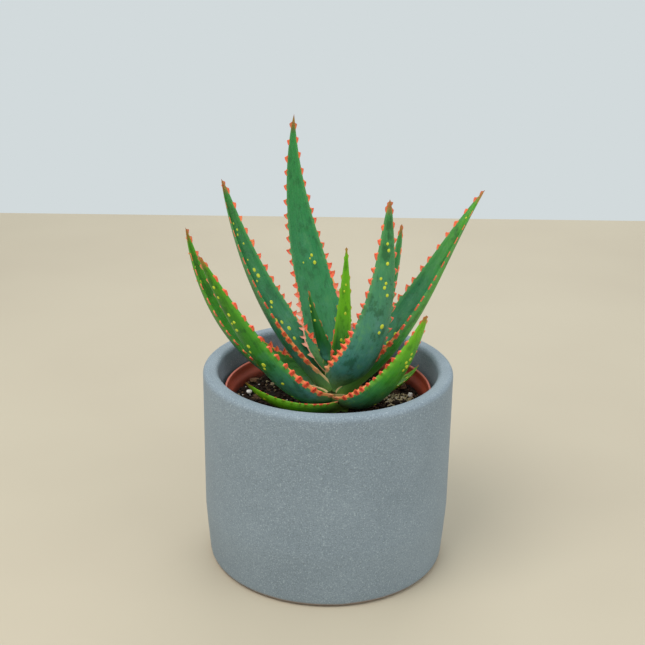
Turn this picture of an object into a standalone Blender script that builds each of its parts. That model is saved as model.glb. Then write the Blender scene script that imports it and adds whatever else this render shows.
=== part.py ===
"""A young toothed aloe in its plastic nursery pot, standing inside a ceramic planter.

Metres, +Z up. The origin is the middle of the planter's base, on the surface that it stands on.
The front of the plant is towards -Y. Azimuths turn from +X towards +Y.
"""

import math
import random
from collections import namedtuple

import bmesh
import bpy
import numpy as np
from mathutils import Matrix, Vector

MM = 0.001
GAP = 0.3 * MM  # left between pieces that touch

# Ceramic planter
PLANTER_HEIGHT = 106 * MM
PLANTER_RIM_RADIUS = 65 * MM
PLANTER_BASE_RADIUS = 63 * MM
PLANTER_WALL = 8 * MM
PLANTER_FLOOR = 7 * MM
PLANTER_BASE_ROUNDING = 3.5 * MM
PLANTER_RIM_ROUNDING = 2.6 * MM
PLANTER_INNER_ROUNDING = 6 * MM
PLANTER_SIDES = 72

# Nursery pot, which stands loose on the planter's floor
NURSERY_CLEARANCE = 3 * MM  # between its rim and the planter's wall
NURSERY_RECESS = 11.4 * MM  # its rim below the planter's rim
NURSERY_WALL = 1.2 * MM
NURSERY_LIP_HEIGHT = 7 * MM
NURSERY_LIP_STEP = 1.4 * MM
NURSERY_BASE_RADIUS = 38 * MM
NURSERY_FOOT_HEIGHT = 2.5 * MM
NURSERY_FOOT_WIDTH = 6 * MM
NURSERY_SIDES = 48
DRAIN_HOLES = 6
DRAIN_HOLE_RADIUS = 4 * MM
DRAIN_HOLE_SIDES = 16
DRAIN_CIRCLE_SHARE = 0.62  # of the radius inside the foot

# Potting soil
SOIL_RECESS = 9.6 * MM  # its level below the nursery pot's rim
SOIL_BUMP = 0.7 * MM
SOIL_DISH = 3.6 * MM  # how far it lies lower round the stem
SOIL_RINGS = 8
# waves that make up its unevenness: share of the bump, turns along X and Y in radians per metre, and start
SOIL_WAVES = ((0.6, 210, 170, 1.3), (0.6, 310, 390, 0.0), (0.4, 530, -260, 0.7))

# Plant, drawn for a pot mouth of this radius and grown to fit the mouth that it has
PLANT_MOUTH_RADIUS = 52.8 * MM
PLANT_X = 4 * MM
PLANT_Y = 3 * MM
STEM_DEPTH = 14 * MM
STEM_PROFILE = ((7.4, 0), (6.8, 4), (5.4, 8), (3.6, 12), (1.9, 14.6), (0, 15.4))  # mm: radius, height
STEM_FOOT_SHARE = 0.75  # radius of the stem's lowest face in radii of the stem
STEM_TAPER_SHARE = 0.8  # of its depth, where it starts to narrow towards its foot
STEM_SIDES = 20
SOCKET_CLEARANCE = 0.5 * MM
TOOTH_HEIGHT = 1.5  # mm
FULL_TOOTH_WIDTH = 20  # mm: a narrower leaf has smaller teeth
BASE_WAIST = 0.44  # how much narrower the leaf is where it joins the stem
TOOTH_START = 0.13  # share of the leaf's length that is toothless at its base
MIDLEAF_WRAP = 22  # degrees, half the arc of the cross-section away from the base
INNER_POINTS = (1.0, 0.5, 0.0, -0.5, -1.0)  # across the inner face, from margin to margin
OUTER_POINTS = (-0.62, 0.0, 0.62)  # across the rounded outer face

# Derived levels and radii
PLANTER_INNER_RADIUS = PLANTER_RIM_RADIUS - PLANTER_WALL
NURSERY_RIM_RADIUS = PLANTER_INNER_RADIUS - NURSERY_CLEARANCE
NURSERY_RIM_LEVEL = PLANTER_HEIGHT - NURSERY_RECESS
NURSERY_BASE_LEVEL = PLANTER_FLOOR + GAP
NURSERY_FLOOR_LEVEL = NURSERY_BASE_LEVEL + NURSERY_FOOT_HEIGHT + NURSERY_WALL
NURSERY_SHOULDER_LEVEL = NURSERY_RIM_LEVEL - NURSERY_LIP_HEIGHT
NURSERY_SHOULDER_RADIUS = NURSERY_RIM_RADIUS - NURSERY_LIP_STEP
NURSERY_MOUTH_RADIUS = NURSERY_RIM_RADIUS - NURSERY_WALL
SOIL_LEVEL = NURSERY_RIM_LEVEL - SOIL_RECESS
PLANT_SCALE = NURSERY_MOUTH_RADIUS / PLANT_MOUTH_RADIUS

Leaf = namedtuple(
    "Leaf",
    "name azimuth root_azimuth root_radius root_height reach rise leave arrive "
    "width thickness root_wrap root_turn tip_turn teeth colour bow",
    defaults=(0.36,),
)

# Angles are in degrees and lengths in mm. Each leaf starts root_radius from the plant's axis and root_height
# above the soil, sets off at the angle leave above level, and ends at reach and rise at the angle arrive.
# root_turn and tip_turn roll it about its own line. bow is how far it holds its first and last directions.
LEAVES = (
    Leaf("leaf_back_tall", 128, 103, 4, 15.4, 37.5, 146, 52, 98, 27, 4.6, 45, 0, -8, 17, "leaf_blue", 0.33),
    Leaf("leaf_left_tall", 155, 180, 6.4, 10.4, 67, 112, 50, 75, 18, 5.5, 45, -10, -15, 14, "leaf_blue"),
    Leaf("leaf_left_front", 205, 235, 7.4, 5.4, 74, 89, 3, 64, 20, 6, 45, -10, 30, 12, "leaf_green", 0.27),
    Leaf("leaf_left_long", 178, 160, 8.5, 8.6, 77, 93, 0, 81, 20, 6, 45, -15, -20, 13, "leaf_green"),
    Leaf("leaf_front_upright", 325, 295, 5, 12, 30, 114, 40, 88, 24, 6, 50, -10, -35, 13, "leaf_blue"),
    Leaf("leaf_right_long", 15, -5, 7, 8, 78, 110, 45, 57, 23, 5.5, 50, 12, 15, 15, "leaf_blue", 0.40),
    Leaf("leaf_right_front", 335, 300, 8.5, 4.5, 49, 56, -12, 72, 23, 5.5, 45, -5, -22, 10, "leaf_lime", .31),
    Leaf("leaf_centre_young", 215, 205, 2.8, 16, 17.5, 64.5, 76, 79, 10, 3.5, 60, 20, 20, 6, "leaf_green"),
    Leaf("leaf_back_young", 68, 60, 4.2, 17.6, 12.5, 81, 74, 90, 11, 3, 60, 0, 0, 6, "leaf_lime"),
    Leaf("leaf_right_back", 46, 58, 8, 5, 49.5, 87, 15, 83, 16, 4.5, 45, 0, -10, 9, "leaf_blue", 0.32),
    Leaf("leaf_left_low", 203, 250, 10, 1.4, 50, 18, 3, 50, 14, 4.5, 50, 20, 20, 8, "leaf_lime"),
    Leaf("leaf_right_low", 20, 10, 9, 2.4, 48, 14, 3, 52, 12, 4, 50, 0, 0, 6, "leaf_lime"),
    Leaf("leaf_heart", -35, -50, 3.2, 16.8, 6, 38, 78, 70, 7, 2.4, 60, 0, 0, 4, "leaf_lime"),
)

Grain = namedtuple("Grain", "x y size")

# Larger grains that lie on the soil: mm from the pot's axis, and their size across in mm
PERLITE_SHAPE = (1.15, 0.8)  # length and height in widths
BARK_SHAPE = (1.4, 0.45)
PERLITE = (
    Grain(-42, 8, 3.4),
    Grain(-29, -38, 2.8),
    Grain(-6, -42, 3.2),
    Grain(6, -24, 2.6),
    Grain(30, -34, 2.4),
    Grain(44, 8, 3.0),
    Grain(-24, 36, 3.2),
    Grain(14, 44, 2.8),
)
BARK_CHIPS = (
    Grain(-46, -9, 5.5),
    Grain(16, -44, 5.0),
    Grain(40, 18, 6.0),
    Grain(36, 26, 4.6),
    Grain(-6, 46, 5.5),
    Grain(-40, 24, 5.0),
)

# name: base colour (linear), roughness
COLOURS = {
    "ceramic_grey": ((0.30, 0.34, 0.37), 0.75),
    "terracotta_plastic": ((0.42, 0.10, 0.05), 0.45),
    "soil": ((0.020, 0.013, 0.009), 0.95),
    "stem_green": ((0.25, 0.32, 0.12), 0.60),
    "leaf_blue": ((0.05, 0.20, 0.12), 0.42),
    "leaf_green": ((0.05, 0.21, 0.05), 0.42),
    "leaf_lime": ((0.11, 0.29, 0.03), 0.42),
    "perlite": ((0.75, 0.72, 0.68), 0.85),
    "bark": ((0.16, 0.10, 0.06), 0.90),
}


def clear_scene():
    for thing in list(bpy.data.objects):
        bpy.data.objects.remove(thing, do_unlink=True)


def material(name):
    """The named Principled material, made the first time that it is asked for."""
    found = bpy.data.materials.get(name)
    if found:
        return found
    colour, roughness = COLOURS[name]
    made = bpy.data.materials.new(name)
    made.use_nodes = True
    shader = made.node_tree.nodes["Principled BSDF"]
    shader.inputs["Base Color"].default_value = (*colour, 1.0)
    shader.inputs["Roughness"].default_value = roughness
    shader.inputs["Metallic"].default_value = 0.0
    made.diffuse_color = (*colour, 1.0)
    return made


def add_object(name, mesh_data, material_name, sharp_angle=40):
    """A named object from a finished bmesh, shaded smooth but for its sharp edges."""
    bmesh.ops.recalc_face_normals(mesh_data, faces=mesh_data.faces)
    mesh = bpy.data.meshes.new(name)
    mesh_data.to_mesh(mesh)
    mesh_data.free()
    mesh.shade_smooth()
    mesh.set_sharp_from_angle(angle=math.radians(sharp_angle))
    mesh.materials.append(material(material_name))
    made = bpy.data.objects.new(name, mesh)
    bpy.context.scene.collection.objects.link(made)
    return made


def arc(centre_radius, centre_level, radius, start, end, steps=5):
    """Profile points on an arc, between two angles in degrees measured from +R towards +Z."""
    angles = [math.radians(start + (end - start) * i / steps) for i in range(steps + 1)]
    return [(centre_radius + radius * math.cos(a), centre_level + radius * math.sin(a)) for a in angles]


def turned(name, profile, material_name, sides, sharp_angle=40):
    """A solid turned round Z from (radius, height) points that start and end on the axis."""
    shape = bmesh.new()
    points = [shape.verts.new((radius, 0, level)) for radius, level in profile]
    edges = [shape.edges.new(pair) for pair in zip(points, points[1:])]
    bmesh.ops.spin(
        shape,
        geom=points + edges,
        cent=(0, 0, 0),
        axis=(0, 0, 1),
        angle=2 * math.pi,
        steps=sides,
        use_merge=True,
    )
    bmesh.ops.remove_doubles(shape, verts=shape.verts, dist=0.001 * MM)
    return add_object(name, shape, material_name, sharp_angle)


def ceramic_planter():
    base = PLANTER_BASE_ROUNDING
    rim = PLANTER_RIM_ROUNDING
    inner = PLANTER_INNER_ROUNDING
    profile = [(0, 0)]
    profile += arc(PLANTER_BASE_RADIUS - base, base, base, -90, 0)
    profile += arc(PLANTER_RIM_RADIUS - rim, PLANTER_HEIGHT - rim, rim, 0, 90)
    profile += arc(PLANTER_INNER_RADIUS + rim, PLANTER_HEIGHT - rim, rim, 90, 180)
    profile += arc(PLANTER_INNER_RADIUS - inner, PLANTER_FLOOR + inner, inner, 0, -90)
    profile += [(0, PLANTER_FLOOR)]
    return turned("ceramic_planter", profile, "ceramic_grey", PLANTER_SIDES)


def nursery_inner_radius(level):
    """Radius of the nursery pot's inner wall, which tapers from its shoulder to its floor."""
    shoulder = NURSERY_SHOULDER_LEVEL + NURSERY_WALL
    share = (level - NURSERY_BASE_LEVEL) / (shoulder - NURSERY_BASE_LEVEL)
    outer = NURSERY_BASE_RADIUS + (NURSERY_SHOULDER_RADIUS - NURSERY_BASE_RADIUS) * share
    return outer - NURSERY_WALL


def nursery_pot():
    foot = NURSERY_BASE_RADIUS - NURSERY_FOOT_WIDTH
    wall = NURSERY_WALL
    shoulder = NURSERY_SHOULDER_LEVEL
    profile = [
        (0, NURSERY_BASE_LEVEL + NURSERY_FOOT_HEIGHT),
        (foot, NURSERY_BASE_LEVEL + NURSERY_FOOT_HEIGHT),
        (foot + wall, NURSERY_BASE_LEVEL),
        (NURSERY_BASE_RADIUS, NURSERY_BASE_LEVEL),
        (NURSERY_SHOULDER_RADIUS, shoulder),
        (NURSERY_RIM_RADIUS - wall / 4, shoulder + wall / 2),
    ]
    profile += arc(NURSERY_RIM_RADIUS - wall / 2, NURSERY_RIM_LEVEL - wall / 2, wall / 2, 0, 180, 6)
    profile += [
        (NURSERY_RIM_RADIUS - wall, shoulder + 2 * wall),
        (NURSERY_SHOULDER_RADIUS - wall, shoulder + wall),
        (nursery_inner_radius(NURSERY_FLOOR_LEVEL), NURSERY_FLOOR_LEVEL),
        (0, NURSERY_FLOOR_LEVEL),
    ]
    pot = turned("nursery_pot", profile, "terracotta_plastic", NURSERY_SIDES)
    cut = pot.modifiers.new("drain_holes", "BOOLEAN")
    cut.operation = "DIFFERENCE"
    cut.solver = "EXACT"
    cut.object = drain_cutters(foot * DRAIN_CIRCLE_SHARE)
    return pot


def drain_cutters(circle_radius):
    """The cylinders that cut the drainage holes through the nursery pot's floor."""
    shape = bmesh.new()
    for index in range(DRAIN_HOLES):
        turn = Matrix.Rotation(2 * math.pi * index / DRAIN_HOLES, 4, "Z")
        place = turn @ Matrix.Translation((circle_radius, 0, NURSERY_FLOOR_LEVEL))
        bmesh.ops.create_cone(
            shape,
            cap_ends=True,
            segments=DRAIN_HOLE_SIDES,
            radius1=DRAIN_HOLE_RADIUS,
            radius2=DRAIN_HOLE_RADIUS,
            depth=4 * NURSERY_FOOT_HEIGHT,
            matrix=place,
        )
    cutter = add_object("drain_cutter", shape, "terracotta_plastic")
    cutter.hide_render = True
    cutter.display_type = "WIRE"
    return cutter


def soil_height(x, y):
    """Level of the soil's uneven surface, lower round the stem. Its waves grow with the plant."""
    u, v = x / PLANT_SCALE, y / PLANT_SCALE
    bumps = sum(share * math.sin(a * u + b * v + start) for share, a, b, start in SOIL_WAVES)
    from_stem = math.hypot(x - PLANT_X, y - PLANT_Y) / NURSERY_MOUTH_RADIUS
    return SOIL_LEVEL + 0.5 * SOIL_BUMP * bumps - SOIL_DISH * math.exp(-6 * from_stem**2)


def potting_soil():
    """The root ball's soil, a plug that fills the nursery pot, with a socket for the stem."""
    shape = bmesh.new()
    bottom_level = NURSERY_FLOOR_LEVEL + GAP
    edge_radius = nursery_inner_radius(SOIL_LEVEL - SOIL_BUMP) - GAP
    bottom_radius = nursery_inner_radius(bottom_level) - GAP
    directions = [2 * math.pi * i / NURSERY_SIDES for i in range(NURSERY_SIDES)]
    rings = []
    for index in range(1, SOIL_RINGS + 1):
        radius = edge_radius * index / SOIL_RINGS
        places = [(radius * math.cos(a), radius * math.sin(a)) for a in directions]
        rings.append([shape.verts.new((x, y, soil_height(x, y))) for x, y in places])
    bottom = [(bottom_radius * math.cos(a), bottom_radius * math.sin(a)) for a in directions]
    rings.append([shape.verts.new((x, y, bottom_level)) for x, y in bottom])
    for upper, lower in zip(rings, rings[1:]):
        join_rings(shape, upper, lower)
    close_with_point(shape, rings[0], (0, 0, soil_height(0, 0)))
    close_with_point(shape, rings[-1], (0, 0, bottom_level))
    soil = add_object("potting_soil", shape, "soil", sharp_angle=60)
    socket = soil.modifiers.new("stem_socket", "BOOLEAN")
    socket.operation = "DIFFERENCE"
    socket.solver = "EXACT"
    socket.object = socket_cutter()
    return soil


def socket_cutter():
    """The cylinder that clears the soil for the buried stem, from its foot to above the surface."""
    radius = STEM_PROFILE[0][0] * MM * PLANT_SCALE + SOCKET_CLEARANCE
    depth = STEM_DEPTH + GAP + 2 * SOIL_RECESS
    shape = bmesh.new()
    place = Matrix.Translation((PLANT_X, PLANT_Y, SOIL_LEVEL - STEM_DEPTH - GAP + depth / 2))
    bmesh.ops.create_cone(
        shape, cap_ends=True, segments=STEM_SIDES, radius1=radius, radius2=radius, depth=depth, matrix=place
    )
    cutter = add_object("socket_cutter", shape, "soil")
    cutter.hide_render = True
    cutter.display_type = "WIRE"
    return cutter


def join_rings(shape, first, second):
    """Faces between two rings with the same number of points."""
    count = len(first)
    for i in range(count):
        j = (i + 1) % count
        shape.faces.new((first[i], first[j], second[j], second[i]))


def close_with_point(shape, ring, point):
    """A fan of faces from a ring to one point."""
    tip = shape.verts.new(point)
    for i, vertex in enumerate(ring):
        shape.faces.new((vertex, ring[(i + 1) % len(ring)], tip))


def stem():
    """The short woody stem that the leaves grow from, buried at its foot."""
    top = [(radius * MM * PLANT_SCALE, height * MM * PLANT_SCALE) for radius, height in STEM_PROFILE]
    foot_radius = top[0][0]
    profile = [(0, -STEM_DEPTH), (foot_radius * STEM_FOOT_SHARE, -STEM_DEPTH)]
    profile += [(foot_radius, -STEM_TAPER_SHARE * STEM_DEPTH)] + top
    made = turned("stem", profile, "stem_green", STEM_SIDES, sharp_angle=50)
    made.location = (PLANT_X, PLANT_Y, SOIL_LEVEL)
    return made


def leaf_line(leaf, share):
    """Points on the leaf's line and their azimuths, in mm from where the plant's axis meets the soil."""
    start = np.array([leaf.root_radius, leaf.root_height])
    end = np.array([leaf.reach, leaf.rise])
    hold = leaf.bow * np.linalg.norm(end - start)
    leave, arrive = np.radians([leaf.leave, leaf.arrive])
    first = start + hold * np.array([np.cos(leave), np.sin(leave)])
    last = end - hold * np.array([np.cos(arrive), np.sin(arrive)])
    t = share[:, None]
    line = (1 - t) ** 3 * start + 3 * (1 - t) ** 2 * t * first + 3 * (1 - t) * t**2 * last + t**3 * end
    azimuth = np.radians(leaf.azimuth + (leaf.root_azimuth - leaf.azimuth) * (1 - share) ** 2)
    radius, height = line.T
    return np.stack([radius * np.cos(azimuth), radius * np.sin(azimuth), height], -1), azimuth


def leaf_axes(leaf, share):
    """Points on the leaf's line, with the sideways and inward directions of its cross-section there."""
    points, azimuth = leaf_line(leaf, share)
    step = 0.001
    along = leaf_line(leaf, np.clip(share + step, 0, 1))[0] - leaf_line(leaf, np.clip(share - step, 0, 1))[0]
    along /= np.linalg.norm(along, axis=1)[:, None]
    side = np.stack([-np.sin(azimuth), np.cos(azimuth), 0 * azimuth], -1)
    side -= (side * along).sum(1)[:, None] * along
    side /= np.linalg.norm(side, axis=1)[:, None]
    inward = np.cross(along, side)
    turn = leaf.root_turn + (leaf.tip_turn - leaf.root_turn) * (1 - (1 - share) ** 3)
    turn = np.radians(turn)[:, None]
    return points, np.cos(turn) * side + np.sin(turn) * inward, np.cos(turn) * inward - np.sin(turn) * side


def leaf_stations(leaf):
    """Shares of the leaf's length for its cross-sections, and how far a tooth stands out at each."""
    pitch = (1 - TOOTH_START) / (leaf.teeth + 0.5)
    plain = np.linspace(0, TOOTH_START, 4)[:-1]
    toothed = TOOTH_START + pitch * np.arange(2 * leaf.teeth + 1) / 2
    share = np.concatenate([plain, toothed])
    peak = np.zeros(len(share))
    peak[len(plain) + 1 :: 2] = 1
    for_width = min(1, (leaf.width / FULL_TOOTH_WIDTH) ** 0.3)
    towards_tip = np.minimum(1, 2.2 * (1.08 - share))
    return share, peak * for_width * towards_tip * TOOTH_HEIGHT


def leaf_rings(leaf):
    """The leaf's cross-sections, each the points of its channelled inner face and rounded outer face."""
    share, tooth = leaf_stations(leaf)
    points, side, inward = leaf_axes(leaf, share)
    width = leaf.width * (1 - share**1.4) * (1 - BASE_WAIST * (1 - share) ** 6)
    thickness = leaf.thickness * (1 - share**1.6) * (1 - 0.5 * (1 - share) ** 6)
    wrap = np.radians(leaf.root_wrap * (1 - share) ** 3 + MIDLEAF_WRAP * (1 - (1 - share) ** 3))
    bend = width / 2 / np.sin(wrap)
    ring = []
    for across in INNER_POINTS:
        is_margin = abs(across) == 1
        out = across * (bend * np.sin(wrap * abs(across)) / max(abs(across), 1e-9) + tooth * is_margin)
        up = bend - bend * np.cos(wrap * across)
        ring.append(points + side * out[:, None] + inward * up[:, None])
    for across in OUTER_POINTS:
        deep = bend + thickness * (1 - abs(across) ** 2.2) ** 0.8
        out = deep * np.sin(wrap * across)
        up = bend - deep * np.cos(wrap * across)
        ring.append(points + side * out[:, None] + inward * up[:, None])
    return np.stack(ring, 1)


def leaf(spec):
    """One leaf with its marginal teeth: cross-sections joined along its line, closed at base and tip."""
    shape = bmesh.new()
    scale = MM * PLANT_SCALE
    rings = [[shape.verts.new(point * scale) for point in ring] for ring in leaf_rings(spec)]
    for lower, upper in zip(rings, rings[1:]):
        join_rings(shape, lower, upper)
    shape.faces.new(rings[0])
    close_with_point(shape, rings[-1], leaf_line(spec, np.array([1.0]))[0][0] * scale)
    made = add_object(spec.name, shape, spec.colour, sharp_angle=50)
    made.location = (PLANT_X, PLANT_Y, SOIL_LEVEL)
    return made


def lump(name, grain, material_name, seed, stretch):
    """An irregular grain that lies on the soil; stretch is its length and height in widths."""
    length, height = stretch
    dice = random.Random(seed)
    shape = bmesh.new()
    bmesh.ops.create_icosphere(shape, subdivisions=1, radius=0.5 * grain.size * MM)
    for vertex in shape.verts:
        vertex.co *= dice.uniform(0.8, 1.08)
        vertex.co = Vector((vertex.co.x * length, vertex.co.y, vertex.co.z * height))
    bmesh.ops.rotate(shape, verts=shape.verts, matrix=Matrix.Rotation(dice.uniform(0, math.pi), 3, "Z"))
    made = add_object(name, shape, material_name, sharp_angle=30)
    x, y = grain.x * MM * PLANT_SCALE, grain.y * MM * PLANT_SCALE
    foot = min(v.co.z for v in made.data.vertices)
    under = [soil_height(x + v.co.x, y + v.co.y) for v in made.data.vertices]
    made.location = (x, y, max(under) - foot + GAP)
    return made


def grains():
    for index, grain in enumerate(PERLITE, 1):
        lump(f"perlite_grain_{index}", grain, "perlite", index, PERLITE_SHAPE)
    for index, grain in enumerate(BARK_CHIPS, 1):
        lump(f"bark_chip_{index}", grain, "bark", len(PERLITE) + index, BARK_SHAPE)


def build():
    clear_scene()
    ceramic_planter()
    nursery_pot()
    potting_soil()
    stem()
    for spec in LEAVES:
        leaf(spec)
    grains()


build()
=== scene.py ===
"""The looks of a potted aloe: fine leaves with coral teeth, a speckled stoneware planter and gritty soil.

Metres, +Z up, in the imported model's frame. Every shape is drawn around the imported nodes.
"""

import math
import random

import bmesh
import bpy
import numpy as np
from mathutils import Matrix, Vector, noise
from mathutils.bvhtree import BVHTree


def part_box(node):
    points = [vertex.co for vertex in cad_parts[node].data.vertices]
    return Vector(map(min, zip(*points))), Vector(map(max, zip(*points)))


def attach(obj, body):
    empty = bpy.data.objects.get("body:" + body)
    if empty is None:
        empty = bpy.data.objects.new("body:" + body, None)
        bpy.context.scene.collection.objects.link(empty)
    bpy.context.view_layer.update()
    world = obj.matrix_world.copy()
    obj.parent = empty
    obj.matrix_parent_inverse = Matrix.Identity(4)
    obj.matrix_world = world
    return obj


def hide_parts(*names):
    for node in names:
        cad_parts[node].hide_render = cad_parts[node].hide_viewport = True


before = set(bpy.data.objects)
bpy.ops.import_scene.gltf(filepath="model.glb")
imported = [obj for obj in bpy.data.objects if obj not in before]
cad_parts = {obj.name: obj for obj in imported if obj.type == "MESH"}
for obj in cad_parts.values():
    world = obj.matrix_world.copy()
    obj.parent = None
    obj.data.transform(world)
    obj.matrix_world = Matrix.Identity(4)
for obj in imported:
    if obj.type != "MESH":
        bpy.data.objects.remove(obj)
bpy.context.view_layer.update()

MM = 0.001
BODY = "root"
WELD = 0.002 * MM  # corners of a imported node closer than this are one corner


def srgb(red, green, blue):
    """A display colour, 0 to 255, as the linear RGBA that a shader takes."""
    shares = [channel / 255 for channel in (red, green, blue)]
    linear = [s / 12.92 if s <= 0.04045 else ((s + 0.055) / 1.055) ** 2.4 for s in shares]
    return (*linear, 1.0)


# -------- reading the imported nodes


def welded(node):
    """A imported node's mesh as a bmesh whose faces share their corners."""
    shape = bmesh.new()
    shape.from_mesh(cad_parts[node].data)
    bmesh.ops.remove_doubles(shape, verts=shape.verts, dist=WELD)
    shape.verts.ensure_lookup_table()
    return shape


def turned_profile(node, azimuth):
    """The (radius, height) outline of a turned node, read from its corners at one azimuth in degrees."""
    shape = welded(node)
    angle = math.radians(azimuth)
    outward = Vector((math.cos(angle), math.sin(angle), 0))
    sideways = Vector((-math.sin(angle), math.cos(angle), 0))
    near = 0.01 * MM
    on_line = {v for v in shape.verts if abs(v.co @ sideways) < near and v.co @ outward > -near}

    def neighbours(corner):
        return [o for o in (e.other_vert(corner) for e in corner.link_edges) if o in on_line]

    here = min((v for v in on_line if len(neighbours(v)) == 1), key=lambda v: v.co.z)
    outline = []
    while here:
        outline.append(here)
        nexts = [v for v in neighbours(here) if v not in outline]
        here = min(nexts, key=lambda v: (v.co - here.co).length) if nexts else None
    points = [(max(v.co @ outward, 0.0), v.co.z) for v in outline]
    points = [(0.0, points[0][1])] * (points[0][0] > near) + points
    points += [(0.0, points[-1][1])] * (points[-1][0] > near)
    shape.free()
    return points


# -------- making pieces


def new_object(name, data):
    """An object in the scene."""
    made = bpy.data.objects.new(name, data)
    bpy.context.scene.collection.objects.link(made)
    return made


def add_piece(name, mesh, material, slot, *nodes):
    """A finished piece of the plant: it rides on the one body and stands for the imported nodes."""
    mesh.materials.append(material)
    piece = new_object(name, mesh)
    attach(piece, BODY)
    if nodes:
        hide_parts(*nodes)


def mesh_from(name, corners, faces, **values):
    """A smooth-shaded mesh, with a float attribute for each named array of corner values."""
    mesh = bpy.data.meshes.new(name)
    mesh.from_pydata([tuple(c) for c in corners], [], faces)
    for key, numbers in values.items():
        layer = mesh.attributes.new(key, "FLOAT", "POINT")
        layer.data.foreach_set("value", np.asarray(numbers, np.float32))
    mesh.shade_smooth()
    return mesh


def mesh_of(name, shape):
    """A smooth-shaded mesh of a bmesh, which is used up."""
    mesh = bpy.data.meshes.new(name)
    shape.to_mesh(mesh)
    shape.free()
    mesh.shade_smooth()
    return mesh


def ring_walls(rings, sides, start=0, flip=False):
    """Quads that join each ring of corners to the next."""
    for low in range(start, start + (rings - 1) * sides, sides):
        for i in range(sides):
            j, high = (i + 1) % sides, low + sides
            if flip:
                yield low + i, high + i, high + j, low + j
            else:
                yield low + i, low + j, high + j, high + i


def close_ring(corners, faces, start, sides, point, flip):
    """A fan of triangles from a ring to a new corner at the point."""
    middle = len(corners)
    corners.append(point)
    for i in range(sides):
        a, b = start + i, start + (i + 1) % sides
        faces.append((b, a, middle) if flip else (a, b, middle))


def turned_mesh(name, outline, sides, wobble=None):
    """A solid turned round Z from an outline that starts and ends on the axis."""
    inner = outline[1:-1]
    corners = []
    for radius, height in inner:
        for i in range(sides):
            angle = 2 * math.pi * i / sides
            grown = radius + (wobble(radius, angle, height) if wobble else 0)
            corners.append((grown * math.cos(angle), grown * math.sin(angle), height))
    faces = list(ring_walls(len(inner), sides))
    close_ring(corners, faces, 0, sides, (0, 0, outline[0][1]), True)
    close_ring(corners, faces, (len(inner) - 1) * sides, sides, (0, 0, outline[-1][1]), False)
    return mesh_from(name, corners, faces)


def hermite(t, start, leave, end, arrive):
    """The cubic curve from start to end with these directions there."""
    half = (2 * t**3 - 3 * t**2 + 1) * start + (t**3 - 2 * t**2 + t) * leave
    return half + (-2 * t**3 + 3 * t**2) * end + (t**3 - t**2) * arrive


def rounded_outline(outline, step, soft=35):
    """A finer outline, with a point every step: curved where it turns less than soft degrees."""
    points = [Vector(p) for p in outline]
    fine = []
    for i in range(len(points) - 1):
        before, here, after = points[max(i - 1, 0)], points[i], points[i + 1]
        beyond = points[min(i + 2, len(points) - 1)]
        run = after - here
        leave, arrive = run, run
        if i and math.degrees((here - before).angle(run)) < soft:
            leave = ((here - before).normalized() + run.normalized()).normalized() * run.length
        if i < len(points) - 2 and math.degrees(run.angle(beyond - after)) < soft:
            arrive = (run.normalized() + (beyond - after).normalized()).normalized() * run.length
        count = max(1, math.ceil(run.length / step))
        fine += [hermite(k / count, here, leave, after, arrive) for k in range(count)]
    fine.append(points[-1])
    widest = max(p.x for p in points)
    lowest, highest = min(p.y for p in points), max(p.y for p in points)
    return [(min(max(p.x, 0.0), widest), min(max(p.y, lowest), highest)) for p in fine]


# -------- materials


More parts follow.
